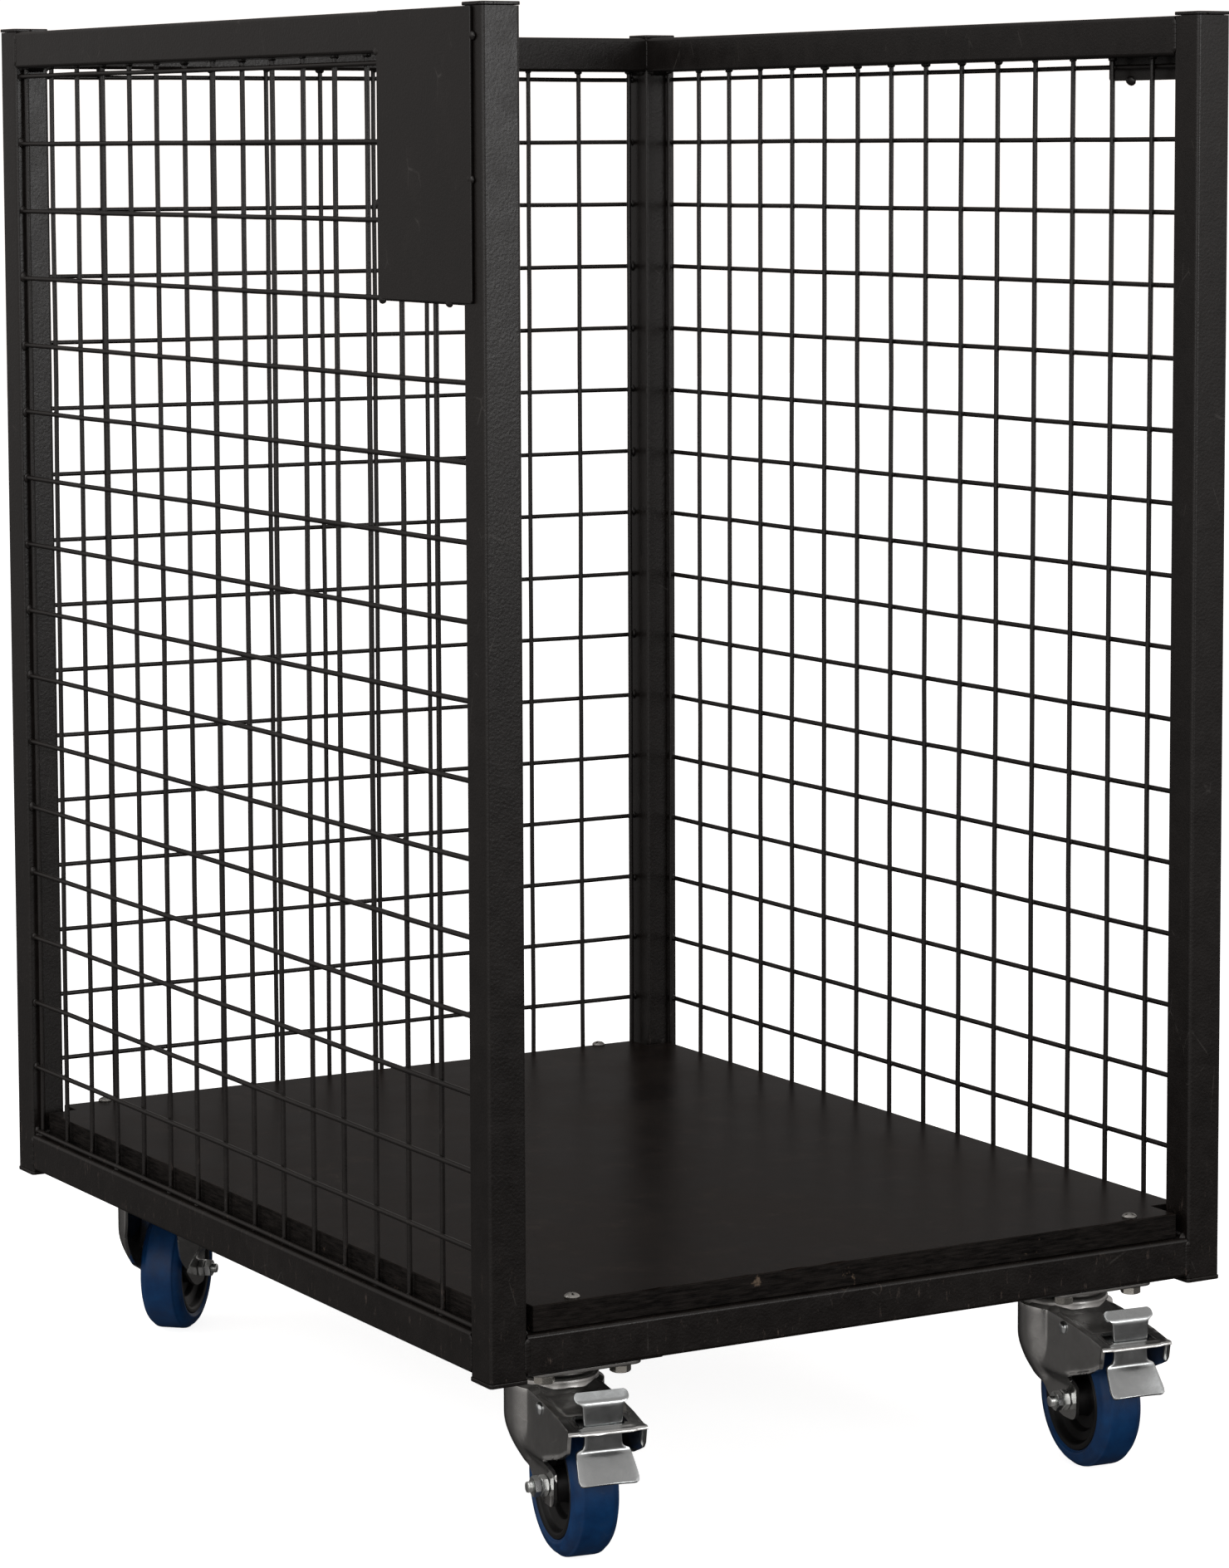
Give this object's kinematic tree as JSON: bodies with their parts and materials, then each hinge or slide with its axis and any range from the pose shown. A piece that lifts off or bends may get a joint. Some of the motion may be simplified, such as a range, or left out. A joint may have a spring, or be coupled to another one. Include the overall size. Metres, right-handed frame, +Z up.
{
  "type": "pipe and drape cart",
  "caption": "Tall open-fronted wire mesh cage cart with a plywood floor, for carrying bagged drape, on swivel castors with brakes at the front.",
  "frame": {"origin": "on the ground, under the middle of the bounding box", "axes": "+Z up, +Y from the open front to the back mesh wall, +X to the right as seen from the open front"},
  "size_m": [0.6146, 0.8486, 1.0584],
  "materials": {
    "black_powder_coat": "near-black satin powder coat, lightly scuffed",
    "mesh_black_coat": "near-black satin coat on welded wire",
    "black_faced_plywood": "dark film-faced plywood with open plies at its edge",
    "dark_sheet_plate": "plain dark sheet, satin, blank",
    "screw_steel": "bright zinc, slightly worn",
    "zinc_plated_plate": "dull zinc plating",
    "zinc_plated_fork": "satin zinc plating on pressed sheet",
    "zinc_plated_brake": "satin zinc plating",
    "axle_steel": "bright zinc plating",
    "black_nylon": "black moulded nylon, semi-gloss",
    "blue_rubber": "blue elastic rubber, matte"
  },
  "bodies": {
    "cart": {"bottom_rail_back": "black_powder_coat", "bottom_rail_front": "black_powder_coat", "bottom_rail_left": "black_powder_coat", "bottom_rail_right": "black_powder_coat", "castor_plate_back_left": "zinc_plated_plate", "castor_plate_back_right": "zinc_plated_plate", "castor_plate_front_left": "zinc_plated_plate", "castor_plate_front_right": "zinc_plated_plate", "corner_plate_back_left": "black_powder_coat", "corner_plate_back_right": "black_powder_coat", "corner_plate_front_left": "black_powder_coat", "corner_plate_front_right": "black_powder_coat", "floor_board": "black_faced_plywood", "floor_screw_back_left": "screw_steel", "floor_screw_back_right": "screw_steel", "floor_screw_front_left": "screw_steel", "floor_screw_front_right": "screw_steel", "mesh_back": "mesh_black_coat", "mesh_left": "mesh_black_coat", "mesh_right": "mesh_black_coat", "name_plate_left": "dark_sheet_plate", "post_back_left": "black_powder_coat", "post_back_right": "black_powder_coat", "post_cap_back_left": "black_powder_coat", "post_cap_back_right": "black_powder_coat", "post_cap_front_left": "black_powder_coat", "post_cap_front_right": "black_powder_coat", "post_foot_back_left": "black_powder_coat", "post_foot_back_right": "black_powder_coat", "post_foot_front_left": "black_powder_coat", "post_foot_front_right": "black_powder_coat", "post_front_left": "black_powder_coat", "post_front_right": "black_powder_coat", "tag_plate_right": "dark_sheet_plate", "top_rail_back": "black_powder_coat", "top_rail_left": "black_powder_coat", "top_rail_right": "black_powder_coat"},
    "fork_front_left": {"fork_front_left": "zinc_plated_fork", "axle_bolt_front_left": "axle_steel"},
    "wheel_front_left": {"wheel_rim_front_left": "black_nylon", "tyre_front_left": "blue_rubber"},
    "brake_front_left": {"brake_pedal_front_left": "zinc_plated_brake"},
    "fork_front_right": {"fork_front_right": "zinc_plated_fork", "axle_bolt_front_right": "axle_steel"},
    "wheel_front_right": {"wheel_rim_front_right": "black_nylon", "tyre_front_right": "blue_rubber"},
    "brake_front_right": {"brake_pedal_front_right": "zinc_plated_brake"},
    "fork_back_right": {"fork_back_right": "zinc_plated_fork", "axle_bolt_back_right": "axle_steel"},
    "wheel_back_right": {"wheel_rim_back_right": "black_nylon", "tyre_back_right": "blue_rubber"},
    "fork_back_left": {"fork_back_left": "zinc_plated_fork", "axle_bolt_back_left": "axle_steel"},
    "wheel_back_left": {"wheel_rim_back_left": "black_nylon", "tyre_back_left": "blue_rubber"}
  },
  "joints": [
    {"name": "swivel_front_left", "type": "hinge", "parent": "cart", "child": "fork_front_left", "pos_m": [-0.217, -0.31134, 0.1205], "axis": [0, 0, 1], "continuous": true},
    {"name": "wheel_spin_front_left", "type": "hinge", "parent": "fork_front_left", "child": "wheel_front_left", "pos_m": [-0.22294, -0.34887, 0.05], "axis": [0.9877, -0.1564, 0], "continuous": true},
    {"name": "brake_lever_front_left", "type": "hinge", "parent": "fork_front_left", "child": "brake_front_left", "pos_m": [-0.2242, -0.35677, 0.1065], "axis": [0.9877, -0.1564, 0], "range_deg": [0, 8]},
    {"name": "swivel_front_right", "type": "hinge", "parent": "cart", "child": "fork_front_right", "pos_m": [0.217, -0.31134, 0.1205], "axis": [0, 0, 1], "continuous": true},
    {"name": "wheel_spin_front_right", "type": "hinge", "parent": "fork_front_right", "child": "wheel_front_right", "pos_m": [0.21303, -0.34913, 0.05], "axis": [0.9945, -0.1045, 0], "continuous": true},
    {"name": "brake_lever_front_right", "type": "hinge", "parent": "fork_front_right", "child": "brake_front_right", "pos_m": [0.21219, -0.35709, 0.1065], "axis": [0.9945, -0.1045, 0], "range_deg": [0, 8]},
    {"name": "swivel_back_right", "type": "hinge", "parent": "cart", "child": "fork_back_right", "pos_m": [0.217, 0.33866, 0.1205], "axis": [0, 0, 1], "continuous": true},
    {"name": "wheel_spin_back_right", "type": "hinge", "parent": "fork_back_right", "child": "wheel_back_right", "pos_m": [0.23484, 0.37221, 0.05], "axis": [-0.8829, 0.4695, 0], "continuous": true},
    {"name": "swivel_back_left", "type": "hinge", "parent": "cart", "child": "fork_back_left", "pos_m": [-0.217, 0.33866, 0.1205], "axis": [0, 0, 1], "continuous": true},
    {"name": "wheel_spin_back_left", "type": "hinge", "parent": "fork_back_left", "child": "wheel_back_left", "pos_m": [-0.19108, 0.36645, 0.05], "axis": [-0.7314, 0.682, 0], "continuous": true}
  ]
}
